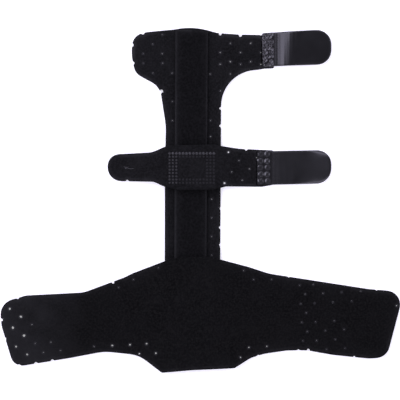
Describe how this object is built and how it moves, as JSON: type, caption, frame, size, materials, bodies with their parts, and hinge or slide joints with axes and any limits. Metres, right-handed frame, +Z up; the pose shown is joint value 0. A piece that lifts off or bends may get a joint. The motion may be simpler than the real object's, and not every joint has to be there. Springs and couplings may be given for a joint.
{
  "type": "finger splint",
  "caption": "Black perforated neoprene finger splint laid flat: a finger pad with a loop-tape spine, a crossing finger strap, glossy hook tabs and a wide wrap for the hand.",
  "frame": {"origin": "middle of the laid-out splint's outline, on the surface it lies on", "axes": "+X along the hand wrap towards the hook tabs, +Y along the finger towards the fingertip, +Z up"},
  "size_m": [0.2397, 0.2068, 0.0088],
  "materials": {
    "neoprene": "black perforated neoprene faced with brushed loop fabric",
    "loop_tape": "black napped loop tape",
    "hook_tape": "glossy black moulded hook tape, smooth side up"
  },
  "bodies": {
    "root": {"finger_pad": "neoprene", "loop_strip": "loop_tape", "strap_hook_patch": "hook_tape", "finger_strap": "neoprene", "fingertip_tab": "hook_tape", "strap_tab": "hook_tape", "wrap_hook_patch": "hook_tape", "hand_wrap": "neoprene"}
  },
  "joints": []
}
